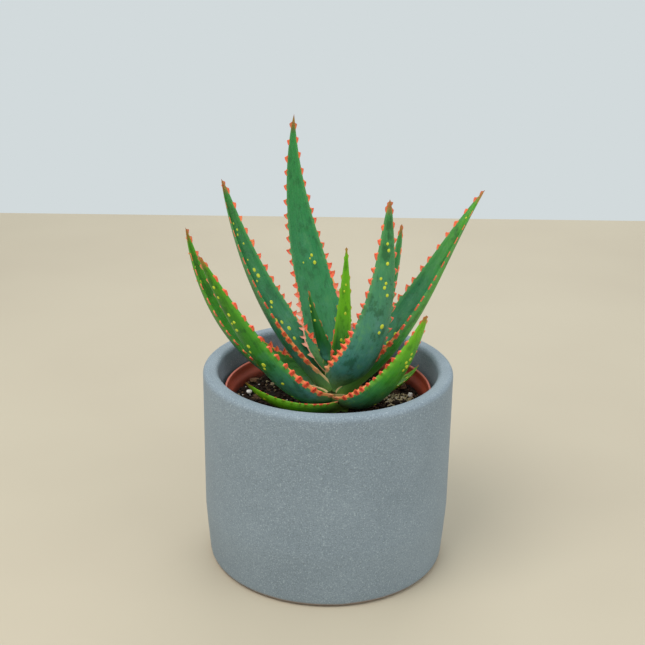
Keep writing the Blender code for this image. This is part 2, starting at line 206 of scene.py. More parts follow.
class Graph:
    """A material's nodes, with short calls for the ones that several materials share."""

    def __init__(self, name, roughness, specular=0.5, **constants):
        self.material = bpy.data.materials.new(name)
        self.material.use_nodes = True
        self.tree = self.material.node_tree
        self.surface = self.tree.nodes["Principled BSDF"]
        constants.update(Roughness=roughness, Specular_IOR_Level=specular)
        for socket, value in constants.items():
            self.surface.inputs[socket.replace("_", " ")].default_value = value
        self.place = self.add("TexCoord").outputs["Object"]

    def add(self, kind, inputs=None, **settings):
        """A new node of this kind, with its sockets fed and its settings made."""
        node = self.tree.nodes.new("ShaderNode" + kind)
        for key, value in settings.items():
            setattr(node, key, value)
        for socket, value in (inputs or {}).items():
            self.feed(node.inputs[socket], value)
        return node

    def feed(self, socket, value):
        """Link another node's output to a socket, or put a constant on it."""
        if isinstance(value, bpy.types.NodeSocket):
            self.tree.links.new(value, socket)
        else:
            socket.default_value = value

    def value(self, name):
        """A mesh attribute, as a number."""
        return self.add("Attribute", attribute_name=name).outputs["Fac"]

    def height(self):
        return self.add("SeparateXYZ", {0: self.place}).outputs["Z"]

    def noise(self, scale, detail=3.0, rough=0.55, at=None):
        """Fractal noise, about 0.3 to 0.7, with this many waves per metre of the object."""
        settings = {"Vector": at or self.place, "Scale": scale, "Detail": detail, "Roughness": rough}
        return self.add("TexNoise", settings).outputs["Fac"]

    def wander(self, amount, *settings):
        """Noise about zero, times the amount."""
        return self.times(self.math("SUBTRACT", self.noise(*settings), 0.5), amount)

    def cells(self, scale, at=None):
        """Distance from each cell's middle, and a random number for the cell."""
        node = self.add("TexVoronoi", {"Vector": at or self.place, "Scale": scale})
        random_red = self.add("SeparateColor", {"Color": node.outputs["Color"]}).outputs["Red"]
        return node.outputs["Distance"], random_red

    def stretched(self, x, y, z, at=None):
        """The place to look up, scaled along each axis: a small scale draws a pattern out."""
        return self.add("VectorMath", {0: at or self.place, 1: (x, y, z)}, operation="MULTIPLY").outputs[0]

    def math(self, operation, first, second):
        return self.add("Math", {0: first, 1: second}, operation=operation).outputs[0]

    def times(self, first, second):
        return self.math("MULTIPLY", first, second)

    def step(self, value, low, high, start=0.0, end=1.0):
        """A smooth step from start to end as the value goes from low to high."""
        settings = {"Value": value, "From Min": low, "From Max": high, "To Min": start, "To Max": end}
        return self.add("MapRange", settings, interpolation_type="SMOOTHSTEP").outputs["Result"]

    def ramp(self, value, *stops):
        """A colour ramp through (position, colour) stops."""
        node = self.add("ValToRGB", {"Fac": value})
        elements = node.color_ramp.elements
        for position, _ in stops[2:]:
            elements.new(position)
        for element, (position, _) in zip(elements, sorted(stops)):
            element.position = position
        for element, (_, colour) in zip(elements, sorted(stops)):
            element.color = colour
        return node.outputs["Color"]

    def mix(self, share, first, second):
        """The first colour, with this share of the second."""
        node = self.add("Mix", data_type="RGBA", blend_type="MIX")
        for index, value in ((0, share), (6, first), (7, second)):
            self.feed(node.inputs[index], value)
        return node.outputs[2]

    def colour(self, value):
        self.body = value
        self.feed(self.surface.inputs["Base Color"], value)

    def tint(self, share, colour):
        """Mix this share of the colour over what is there."""
        self.colour(self.mix(share, self.body, colour))

    def bump(self, *layers):
        """Bump from (height, depth in metres) layers, one on the other."""
        normal = None
        for height, depth in layers:
            settings = {"Height": height, "Distance": depth}
            if normal:
                settings["Normal"] = normal
            normal = self.add("Bump", settings).outputs["Normal"]
        self.feed(self.surface.inputs["Normal"], normal)


FOOT_LINE = (3.0 * MM, 1.2 * MM)  # the stoneware's bare foot fades in between these heights
GLAZE_WANDER = 1.2 * MM  # how far that edge wanders up and down


def stoneware():
    """Matt blue-grey stoneware with pale and dark specks; its foot is unglazed and browner."""
    g = Graph("stoneware", roughness=0.62, specular=0.35)
    cloud = g.noise(28, 4, 0.6)
    g.colour(g.ramp(cloud, (0.3, srgb(124, 137, 146)), (0.7, srgb(133, 146, 155))))
    grain = g.noise(1500, 2, 0.7)
    g.tint(g.step(grain, 0.52, 0.72, 0, 0.6), srgb(182, 194, 200))
    g.tint(g.step(grain, 0.46, 0.3, 0, 0.55), srgb(98, 110, 120))
    fleck, chosen = g.cells(700)
    pale = g.times(g.step(fleck, 0.26, 0.14), g.step(chosen, 0.8, 0.9))
    g.tint(g.times(pale, 0.26), srgb(190, 202, 208))
    fine_fleck, fine_chosen = g.cells(1100)
    dark = g.times(g.step(fine_fleck, 0.34, 0.18), g.step(fine_chosen, 0.7, 0.8))
    g.tint(g.times(dark, 0.5), srgb(84, 90, 94))
    worn = g.math("ADD", g.height(), g.wander(GLAZE_WANDER, 60))
    g.tint(g.times(g.step(worn, *FOOT_LINE), 0.8), srgb(150, 122, 100))
    g.feed(g.surface.inputs["Roughness"], g.step(grain, 0.3, 0.7, 0.52, 0.72))
    g.bump((cloud, 0.25 * MM), (grain, 0.07 * MM))
    return g.material


RIM_HIGHLIGHT = (1.2 * MM, 0.4 * MM)  # the painted highlight along the plastic pot's rim fades in between these depths below it
DARKENING_DEPTHS = (0.5 * MM, 8 * MM)  # and it darkens in patches between these
DARKENING_WANDER = 6 * MM


def terracotta_plastic():
    """Moulded terracotta-coloured plastic, darker in wandering patches lower on the wall, with a painted
    highlight along its rim.
    """
    g = Graph("terracotta_plastic", roughness=0.42, specular=0.45)
    height = g.height()
    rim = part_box("nursery_pot")[1].z
    tint = g.noise(35, 3)
    g.colour(g.ramp(tint, (0.3, srgb(170, 72, 48)), (0.7, srgb(186, 84, 58))))
    blotches = g.noise(240, 5, 0.7)
    # the wall is drawn darker, in patches, deeper below the rim
    darkening_line = g.math("ADD", height, g.times(blotches, DARKENING_WANDER))
    darkening = g.step(darkening_line, rim - DARKENING_DEPTHS[0], rim - DARKENING_DEPTHS[1], 0, 0.85)
    darkening = g.times(darkening, g.step(blotches, 0.36, 0.58, 0.55, 1.0))
    g.tint(darkening, srgb(44, 22, 15))
    # painted highlight: the top of the rim is drawn paler
    edge = g.step(height, rim - RIM_HIGHLIGHT[0], rim - RIM_HIGHLIGHT[1])
    g.tint(g.times(edge, 0.7), srgb(222, 122, 98))
    g.feed(g.surface.inputs["Roughness"], g.step(blotches, 0.3, 0.7, 0.36, 0.6))
    g.bump((blotches, 0.12 * MM), (g.noise(1300, 2), 0.03 * MM))
    return g.material


def peat(name, dark, light):
    """Moist peat: near-black crumbs, painted lighter and browner where the bump rises: a painted highlight on
    the crumbs' tops and painted shade in their hollows.
    """
    g = Graph(name, roughness=0.92, specular=0.18)
    crumb = g.noise(420, 5, 0.7)
    patch = g.noise(70, 3)
    # painted highlight and shade: the crumb noise also raises the bump, so high points are light and hollows
    # dark
    g.colour(g.ramp(crumb, (0.35, dark), (0.62, light)))
    g.tint(g.step(patch, 0.45, 0.65, 0, 0.35), srgb(60, 42, 30))
    fibre = g.noise(500, 2, 0.6, g.stretched(1, 0.15, 1))
    g.tint(g.step(fibre, 0.62, 0.72, 0, 0.55), srgb(118, 92, 66))
    g.bump((crumb, 0.6 * MM), (g.noise(1600, 3, 0.7), 0.25 * MM))
    return g.material


def mineral(name, base, shade, pits):
    """A pale porous grain: pitted, with darker hollows."""
    g = Graph(name, roughness=0.85, specular=0.3)
    pit, _ = g.cells(pits)
    dirt = g.noise(300, 4)
    g.colour(g.ramp(pit, (0.05, shade), (0.35, base)))
    g.tint(g.step(dirt, 0.5, 0.75, 0, 0.5), shade)
    g.bump((pit, 0.2 * MM), (dirt, 0.2 * MM))
    return g.material


def bark_material():
    """Pine bark, with thin layers that lie flat."""
    g = Graph("bark", roughness=0.88, specular=0.2)
    layers = g.noise(120, 5, 0.7, g.stretched(1, 1, 7))
    g.colour(g.ramp(layers, (0.32, srgb(52, 36, 26)), (0.5, srgb(112, 82, 58)), (0.68, srgb(150, 124, 96))))
    g.bump((layers, 0.6 * MM), (g.noise(900, 3), 0.15 * MM))
    return g.material


SOIL_STAIN = (6 * MM, -2 * MM)  # the stem browns between these heights above the soil


def stem_material():
    """Young aloe stem: pale green, with thin brown scars where dry leaf bases sat."""
    g = Graph("stem_skin", roughness=0.5, Subsurface_Weight=0.08, Subsurface_Scale=2 * MM)
    bands = g.noise(90, 4, 0.6, g.stretched(0.4, 0.4, 9))
    soil_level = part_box("potting_soil")[1].z
    g.colour(g.ramp(bands, (0.34, srgb(110, 120, 60)), (0.6, srgb(150, 170, 96))))
    stain = g.step(g.height(), soil_level + SOIL_STAIN[0], soil_level + SOIL_STAIN[1], 0, 0.75)
    g.tint(stain, srgb(98, 74, 44))
    g.tint(g.step(bands, 0.4, 0.3, 0, 0.7), srgb(92, 66, 40))
    g.bump((bands, 0.5 * MM), (g.noise(700, 3), 0.1 * MM))
    return g.material


CORAL = srgb(246, 96, 68)
CORAL_DEEP = srgb(218, 62, 44)
ORANGE = srgb(250, 150, 90)
CREAM = srgb(236, 206, 150)
WAX = srgb(112, 158, 160)
TIP_BROWN = srgb(176, 84, 46)
TIP_RED = srgb(150, 44, 34)
SPOT_YELLOW = srgb(192, 204, 52)
PRICKLE_AMBER = srgb(230, 160, 70)
SPOT, PRICKLE = 1.0, 2.0  # what the mesh attribute "spot" says of a corner; 0 on plain skin
NO_LINE = -0.22  # the coral line's width in mm where only the teeth are coral


def leaf_material(name, look):
    """Waxy leaf skin: bluish bloom low down, mottled green above, coral margins and teeth."""
    g = Graph(name, roughness=0.4, specular=0.34, Subsurface_Weight=0.08, Subsurface_Scale=3 * MM)
    g.surface.inputs["Subsurface Radius"].default_value = (0.3, 1.0, 0.2)
    along = g.value("along")
    streak = leaf_green(g, look, along)
    leaf_coral(g, look, along)
    spot = g.value("spot")
    spot_colour = g.mix(g.step(spot, 1.4, 1.6), SPOT_YELLOW, g.mix(0.35, CORAL, PRICKLE_AMBER))
    g.tint(g.step(spot, 0.3, 0.7), spot_colour)
    g.feed(g.surface.inputs["Roughness"], g.step(streak, 0.3, 0.75, 0.34, 0.5))
    g.bump((streak, 0.22 * MM), (g.noise(260, 3), 0.18 * MM), (g.noise(1400, 2), 0.04 * MM))
    return g.material


def leaf_green(g, look, along):
    """Colour both faces green, with blotches, streaks, dashes and wax; gives the streaks' noise back."""
    across, seed = g.value("across"), look["seed"]
    in_leaf = g.add("CombineXYZ", {0: across, 1: g.value("run"), 2: seed}).outputs[0]  # mm over and along it
    drift = g.math("ADD", along, g.wander(0.3, 45, 4, 0.6))
    root, high = look["root"], look["high"]
    outside = g.ramp(drift, (0.0, root), (0.16, look["low"]), (0.45, look["middle"]), (0.85, high))
    inside = g.ramp(drift, (0.0, root), (0.1, look["in_low"]), (0.5, look["in_middle"]), (0.9, high))
    g.colour(g.mix(g.value("inner"), outside, inside))

    patch = g.noise(0.12, 4, 0.65, g.stretched(1.6, 1.0, 1, in_leaf))
    g.tint(g.step(patch, 0.5, 0.64, 0, look["mottle"]), look["dark"])
    g.tint(g.step(patch, 0.45, 0.32, 0, look["mottle"] * 0.7), look["light"])
    streak = g.noise(0.8, 4, 0.65, g.stretched(2.6, 0.12, 1, in_leaf))
    g.tint(g.step(streak, 0.5, 0.78, 0, 0.35), look["light"])
    g.tint(g.step(streak, 0.46, 0.26, 0, 0.4), look["dark"])
    dash, dashed = g.cells(0.55, g.stretched(1.0, 0.42, 1, in_leaf))
    dash = g.times(g.step(dash, 0.3, 0.16), g.step(dashed, 0.74, 0.82))
    g.tint(g.times(dash, 0.38), look["dark"])
    low_down = g.step(along, 0.85, 0.3, 0, look["bloom"])
    bloom = g.times(g.step(g.noise(120, 5, 0.7), 0.48, 0.8), low_down)
    g.tint(bloom, WAX)
    g.tint(g.step(g.value("edge"), 1.8, 0.4, 0, 0.55), look["light"])
    return streak


def leaf_coral(g, look, along):
    """Add the coral teeth, the line that joins them low down, and the red-brown tip."""
    tooth = g.value("tooth")
    coral = g.ramp(tooth, (0.0, ORANGE), (0.22, CORAL), (0.8, CORAL), (1.0, CORAL_DEEP))
    coral = g.mix(g.step(g.noise(700, 2), 0.42, 0.7, 0, 0.4), coral, ORANGE)
    pale = g.step(along, look["cream"], look["cream"] * 0.4)
    coral = g.mix(pale, coral, look["base_teeth"])
    line = g.step(along, look["line_end"], look["line_end"] * 0.6, NO_LINE, look["line"])
    reach = g.math("ADD", g.times(g.step(tooth, 0.02, 0.16), look["tooth_reach"]), line)
    beyond = g.math("SUBTRACT", g.value("edge"), g.math("ADD", reach, g.wander(0.25, 350, 2)))
    g.tint(g.step(beyond, 0.1, -0.08), coral)
    g.tint(g.step(along, 0.92, 0.98, 0, 0.75), TIP_BROWN)
    g.tint(g.step(along, 0.985, 0.998), TIP_RED)


# -------- leaves

PLAIN_RINGS = 3  # a packed leaf's cross-sections before its toothed stretch, where every second has a tooth
STATION = 0.34 * MM  # between the grown leaf's cross-sections
CAD_WAIST = 0.44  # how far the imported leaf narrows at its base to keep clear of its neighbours
BASE_SPREAD = 0.12  # how much wider than its middle the grown leaf's base is
TIP_FULLNESS = ((0.75, 0.05), (0.4, 0.22))  # gains in width at the tip, each with the length it fades over
CHANNEL_NARROWING = 0.3  # how far a leaf's margins draw together as they curl inwards
BACK_CROWN = (2.3, 0.62)  # powers that shape the rounded outer face

CLASP_END = 0.14  # share of the leaf's length where its clasping base has turned into the free leaf
CLASP_HALF_ARC = math.radians(85)  # how far round the stem it reaches each way
CLASP_GAP = 0.8 * MM
CLASP_THICKNESS = 2.4 * MM
CLASP_DROP = 5.0 * MM
CLASP_LIFT = 4.5 * MM  # of its margins over its middle

IN_FROM_MARGIN = np.array([0, 0.014, 0.035, 0.07, 0.115, 0.18, 0.28, 0.42, 0.6, 0.8, 1.0])
TOOTH_SHARE = (1.0, 0.8, 0.48, 0.17, 0.03)  # how far the points next to the margin go out with a tooth
NARROW_TIP = 5 * MM  # below this width the coral edges narrow with the leaf
FIRST_TOOTH, LAST_TOOTH, TIP_TOOTH = 0.08, 0.985, 0.98
CLOSEST, SPREADING = 0.6, 0.85  # the gap between teeth at the base, and what it gains towards the tip
TOOTH_JITTER = 0.12  # of a gap
TOOTH_LEAN = 0.45  # how far a tooth leans towards the tip, as a share of its height
NUDGE = 0.004  # a short step along the leaf, for its direction
DOME_TURNS = 10
DOME_ROWS = ((1.0, -0.25), (0.86, 0.35), (0.5, 0.85))  # (radius, height) shares, the first sunk in the skin
DOME_STRETCH = 1.25
PRICKLE_LEAN = 0.35
SPOT_HEIGHT = 0.13  # of its width
PRICKLE_MM = 0.9


def smooth_path(knots, points, at):
    """A smooth curve through points at their knots, read at the given places."""
    slope = np.gradient(points, knots, axis=0)
    i = np.clip(np.searchsorted(knots, at, side="right") - 1, 0, len(knots) - 2)
    step = (knots[i + 1] - knots[i])[:, None]
    t = ((at - knots[i]) / (knots[i + 1] - knots[i]))[:, None]
    return hermite(t, points[i], step * slope[i], points[i + 1], step * slope[i + 1])


def widened(along, fullness):
    """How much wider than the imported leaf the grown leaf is: fuller at its base and blunter at its tip."""
    base = (1 + BASE_SPREAD * (1 - along) ** 5) / (1 - CAD_WAIST * (1 - along) ** 6)
    tip = sum(gain * np.exp((along - 1) / span) for gain, span in TIP_FULLNESS)
    return base * (1 + fullness * tip)


class LeafForm:
    """A packed leaf read back as curves: both margins and the middles of its inner and outer faces."""

    def __init__(self, node, axis, look):
        rings, tip = self.read_rings(node, axis)
        root = rings[0].mean(0)
        self.axis, self.channel = axis, look["channel"]
        self.fullness, self.breadth = look["fullness"], look["breadth"]
        self.azimuth = math.atan2(root[1] - axis.y, root[0] - axis.x)
        self.root_radius = math.hypot(root[1] - axis.y, root[0] - axis.x)
        self.root_height = root[2]
        plus, minus, inner, outer = [], [], [], []
        for index, ring in enumerate(rings):
            a, b = self.farthest_pair(ring)
            middle, width = (a + b) / 2, np.linalg.norm(a - b)
            chord = (a - b) / width
            central = [p for p in ring if abs((p - middle) @ chord) < 0.15 * width]
            faces = sorted(central, key=lambda p: np.linalg.norm(p - middle))
            ahead = (rings[index + 1].mean(0) if index + 1 < len(rings) else tip) - ring.mean(0)
            if np.cross(ahead, chord) @ (faces[0] - faces[-1]) < 0:
                a, b = b, a
            plus.append(a)
            minus.append(b)
            inner.append(faces[0])
            outer.append(faces[-1])
        middles = np.array([r.mean(0) for r in rings] + [tip])
        run = np.concatenate([[0], np.cumsum(np.linalg.norm(np.diff(middles, axis=0), axis=1))])
        self.length = run[-1]
        self.knots = run / run[-1]
        toothed = np.arange(PLAIN_RINGS + 1, len(rings), 2)
        self.tooth_count = len(toothed)
        valley = np.array([k for k in range(len(rings)) if k not in toothed] + [len(rings)])
        ends = [np.array(side + [tip]) for side in (plus, minus, inner, outer)]
        self.curves = [(self.knots[valley], side[valley]) for side in ends[:2]]
        self.curves += [(self.knots, side) for side in ends[2:]]

    @staticmethod
    def read_rings(node, axis):
        """The leaf's cross-sections from base to tip, by stepping from its tip along the mesh's edges."""
        shape = welded(node)
        tip = max(shape.verts, key=lambda v: (v.co.xy - axis).length + v.co.z)
        seen, layer, rings = {tip}, [tip], []
        while layer:
            layer = [o for v in layer for o in (e.other_vert(v) for e in v.link_edges) if o not in seen]
            layer = list(dict.fromkeys(layer))
            seen.update(layer)
            if layer:
                rings.append(np.array([v.co for v in layer]))
        end = np.array(tip.co)
        shape.free()
        return rings[::-1], end

    @staticmethod
    def farthest_pair(ring):
        """A ring's two margin corners."""
        gaps = np.linalg.norm(ring[:, None] - ring[None], axis=2)
        i, j = np.unravel_index(gaps.argmax(), gaps.shape)
        return ring[i], ring[j]

    def at(self, along):
        """The four curves at these shares of the leaf's length."""
        return [smooth_path(knots, points, along) for knots, points in self.curves]

    def surface(self, along, across, on_inner):
        """Points on the plain leaf at shares along it and across it (1 and -1 at the margins)."""
        plus, minus, inner, outer = self.at(along)
        middle, half = (plus + minus) / 2, (plus - minus) / 2
        u = across[:, None]
        half = half * self.breadth * widened(along, self.fullness)[:, None]
        narrowing = 1 - CHANNEL_NARROWING * self.channel * u**2
        point = middle + u * half * narrowing + (1 - u**2) * (inner - middle)
        reach = np.linalg.norm(half, axis=1)[:, None]
        point = point + self.channel * u**2 * reach * self.inward(inner, outer)
        full = (1 - np.abs(u) ** BACK_CROWN[0]) ** BACK_CROWN[1]
        free = point + np.where(on_inner[:, None], 0.0, full) * (outer - inner)
        held = np.clip(1 - along / CLASP_END, 0, 1)[:, None]
        held = held**2 * (3 - 2 * held)
        return free + held * (self.sheath(along, across, on_inner, full[:, 0]) - free)

    @staticmethod
    def inward(inner, outer):
        """Unit directions from the outer face's middle to the inner face's."""
        return (inner - outer) / np.maximum(np.linalg.norm(inner - outer, axis=1), 1e-9)[:, None]

    def sheath(self, along, across, on_inner, full):
        """Points of the clasping base: part of an upright tube round the stem, thin at its margins."""
        turn = self.azimuth + across * CLASP_HALF_ARC
        radius = self.root_radius + CLASP_GAP + np.where(on_inner, 0.0, full) * CLASP_THICKNESS
        drop = CLASP_DROP * (1 - along / CLASP_END)
        height = self.root_height - drop + CLASP_LIFT * across**2
        place = [self.axis.x + radius * np.cos(turn), self.axis.y + radius * np.sin(turn), height]
        return np.stack(place, -1)


def tooth_places(count, look, dice):
    """Shares of the leaf's length where teeth stand and their pitch there: closer towards its base."""
    gaps = [CLOSEST + SPREADING * (k + 0.5) / count for k in range(count)]
    scale = (LAST_TOOTH - FIRST_TOOTH) / sum(gaps)
    place = FIRST_TOOTH
    for gap in gaps:
        pitch = gap * scale
        yield place + pitch / 2 + dice.uniform(-TOOTH_JITTER, TOOTH_JITTER) * pitch, pitch
        place += pitch
    if look["tip_teeth"]:
        yield TIP_TOOTH, 0.75 * pitch


def tooth_slimness(place):
    """How much smaller a tooth is near the leaf's tip, and at its very base."""
    return min(1.0, 0.5 + 1.1 * (1 - place)) * min(1.0, 0.45 + 3 * place)


def tooth_outline(place, peak_shift):
    """Height of a fin-like tooth, 0 to 1, at places counted in half tooth lengths from its middle."""
    place = place - peak_shift
    side = np.where(place > 0, 1 - peak_shift, 1 + peak_shift)
    share = np.clip(1 - np.abs(place) / side, 0, 1)
    return np.where(place > 0, share**0.9, np.sin(share * math.pi / 2))


def leaf_mesh(name, form, look, dice):
    """The fine leaf: a grid of cross-sections whose margins swell into teeth, with its spots and prickles."""
    count = max(60, int(form.length / STATION))
    rows = np.linspace(0, 1, count + 1)[:-1]
    rows = np.concatenate([rows, [1 - 0.4 / count]])
    u = 1 - IN_FROM_MARGIN
    ring = np.concatenate([u, -u[-2::-1], -u[1:], u[-2:0:-1]])  # over the inner face and back under the outer
    columns = len(ring)
    along, across = np.repeat(rows, columns), np.tile(ring, len(rows))
    on_inner = np.tile(np.arange(columns) < 2 * len(u) - 1, len(rows))
    points = form.surface(along, across, on_inner)

    plus, minus, inner_middle, outer_middle = form.at(along)
    side = plus - minus
    width = np.linalg.norm(side, axis=1)
    side /= width[:, None]
    width *= form.breadth * widened(along, form.fullness)
    lifted = 2 * form.channel * form.inward(inner_middle, outer_middle)
    further = form.surface(np.clip(along + NUDGE, 0, 0.9999), across, on_inner)
    ahead = further - form.surface(np.clip(along - NUDGE, 0, 0.9999), across, on_inner)
    ahead /= np.linalg.norm(ahead, axis=1)[:, None]
    tooth = np.zeros(len(points))
    margin = np.abs(across)
    share = np.zeros(len(points))
    for step, part in enumerate(TOOTH_SHARE):
        share[np.isclose(margin, u[step])] = part
    for sign in (1, -1):
        outward = (sign * side + lifted) / math.hypot(1, 2 * form.channel)
        on_side = across * sign > 0.001
        for place, pitch in tooth_places(form.tooth_count + look["more_teeth"], look, dice):
            slim = tooth_slimness(place)
            half_length = pitch * look["tooth_length"] * (0.3 + 0.7 * slim) * dice.uniform(0.8, 1.15) / 2
            tall = look["tooth_mm"] * MM * slim * dice.uniform(0.7, 1.15)
            here = tooth_outline((along - place) / half_length, dice.uniform(0.1, 0.45)) * on_side
            tooth = np.maximum(tooth, here * slim**0.3)
            out = share * here * tall
            points = points + out[:, None] * outward + (out * here * TOOTH_LEAN)[:, None] * ahead

    corners = list(points)
    values = {
        "along": list(along),
        "across": list(across * width / 2 / MM),
        "run": list(along * form.length / MM),
        "edge": list((1 - margin) * width / 2 / MM * np.maximum(1, NARROW_TIP / width)),
        "tooth": list(tooth),
        "inner": list(np.where(on_inner & (margin < 0.99), 1.0, 0.0)),
        "spot": [0.0] * len(points),
    }
    faces = list(ring_walls(len(rows), columns, flip=True))
    faces.append(tuple(range(columns)))
    close_ring(corners, faces, (len(rows) - 1) * columns, columns, form.at(np.array([1.0]))[0][0], True)
    for key, number in zip(values, (1.0, 0.0, form.length / MM, 0.0, 0.0, 0.0, 0.0)):
        values[key].append(number)
    for on_face, place, over, size in look["spots"] + scattered_spots(look, dice):
        add_dome(form, corners, faces, values, on_face, place, over, size, SPOT_HEIGHT * size, SPOT)
    for place, over in keel_prickles(look, dice):
        add_dome(form, corners, faces, values, OUTER, place, over, PRICKLE_MM, PRICKLE_MM, PRICKLE)
    return mesh_from(name, corners, faces, **values)


def scattered_spots(look, dice):
    """Small pale spots near the middle of both faces: (inner face, along, across, mm wide)."""
    found = []
    for face in (INNER, OUTER):
        place = dice.uniform(0.12, 0.22)
        while place < 0.9:
            if dice.random() < look["spotty"]:
                found.append((face, place, dice.uniform(-0.38, 0.38), dice.uniform(0.9, 1.7)))
            place += dice.uniform(0.03, 0.09)
    return found


def keel_prickles(look, dice):
    """Places of the soft prickles near the middle of the outer face's upper half."""
    place = 0.5
    while place < 0.97 and look["prickles"]:
        yield place, dice.uniform(-0.12, 0.12)
        place += dice.uniform(0.05, 0.11)


def add_dome(form, corners, faces, values, on_inner, place, over, width_mm, height_mm, kind):
    """A low dome or prickle whose base is sunk in the leaf's skin."""
    alongs = np.array([place, place - NUDGE, place + NUDGE, place, place])
    overs = np.array([over, over, over, over - 0.05, over + 0.05])
    middle, back, front, right, left = form.surface(alongs, overs, np.full(5, on_inner))
    ahead = (front - back) / np.linalg.norm(front - back)
    sideways = left - right
    sideways -= (sideways @ ahead) * ahead
    sideways /= np.linalg.norm(sideways)
    outward = np.cross(ahead, sideways)
    if not on_inner:
        outward = -outward
    start = len(corners)
    lean = ahead * (PRICKLE_LEAN * height_mm * MM if kind == PRICKLE else 0)
    for spread, rise in DOME_ROWS:
        radius = spread * width_mm * MM / 2
        for k in range(DOME_TURNS):
            angle = 2 * math.pi * k / DOME_TURNS
            flat = ahead * math.cos(angle) * DOME_STRETCH + sideways * math.sin(angle)
            corners.append(middle + flat * radius + outward * rise * height_mm * MM + lean * max(rise, 0))
    walls = ring_walls(len(DOME_ROWS), DOME_TURNS, start)
    faces += [quad if on_inner else quad[::-1] for quad in walls]
    top_ring = len(corners) - DOME_TURNS
    close_ring(corners, faces, top_ring, DOME_TURNS, middle + outward * height_mm * MM + lean, not on_inner)
    bottom = tuple(range(start, start + DOME_TURNS))
    faces.append(bottom[::-1] if on_inner else bottom)
    plain = {"along": place, "across": over, "run": place * form.length / MM, "edge": 5.0, "tooth": 0.0}
    for key, number in (plain | {"inner": float(on_inner), "spot": kind}).items():
        values[key] += [number] * (len(corners) - start)


INNER, OUTER = True, False  # a leaf's faces


def spots_on(face, *spots):
    """Pale spots on one face, from (along, across, mm wide)."""
    return [(face, *spot) for spot in spots]


def varied(look, **changes):
    """A look with some of its values changed."""
    return look | changes


# Lengths whose names end in mm, and tooth_reach and line, are in mm. Places are shares of the leaf's length.
BLUE = dict(
    slot="leaf_blue", root=srgb(128, 160, 76), low=srgb(48, 108, 100), middle=srgb(40, 112, 78),
    high=srgb(42, 120, 52), in_low=srgb(52, 118, 82), in_middle=srgb(36, 114, 66), dark=srgb(18, 70, 30),
    light=srgb(88, 150, 88), mottle=0.42, bloom=0.28, cream=0.14, base_teeth=CREAM, tooth_length=0.62,
    tooth_mm=2.1, tooth_reach=0.5, fullness=1.3, breadth=1.0, channel=0.0, more_teeth=4, tip_teeth=True,
    line=0.66, line_end=0.4, spotty=0.25, prickles=False, spots=[],
)
GREEN = varied(
    BLUE, slot="leaf_green", low=srgb(74, 134, 124), middle=srgb(40, 116, 24), high=srgb(64, 130, 10),
    in_low=srgb(74, 132, 62), in_middle=srgb(48, 130, 20), dark=srgb(16, 72, 14), light=srgb(88, 160, 32),
    mottle=0.5,
)
LIME = varied(
    BLUE, slot="leaf_lime", low=srgb(42, 108, 60), middle=srgb(62, 138, 34), high=srgb(100, 170, 8),
    in_low=srgb(50, 114, 50), in_middle=srgb(74, 144, 30), dark=srgb(22, 86, 14), light=srgb(126, 184, 48),
    bloom=0.12,
)
SMALL_TEETH = dict(tooth_mm=0.95, tooth_reach=0.25, tooth_length=0.42, line=0.22)
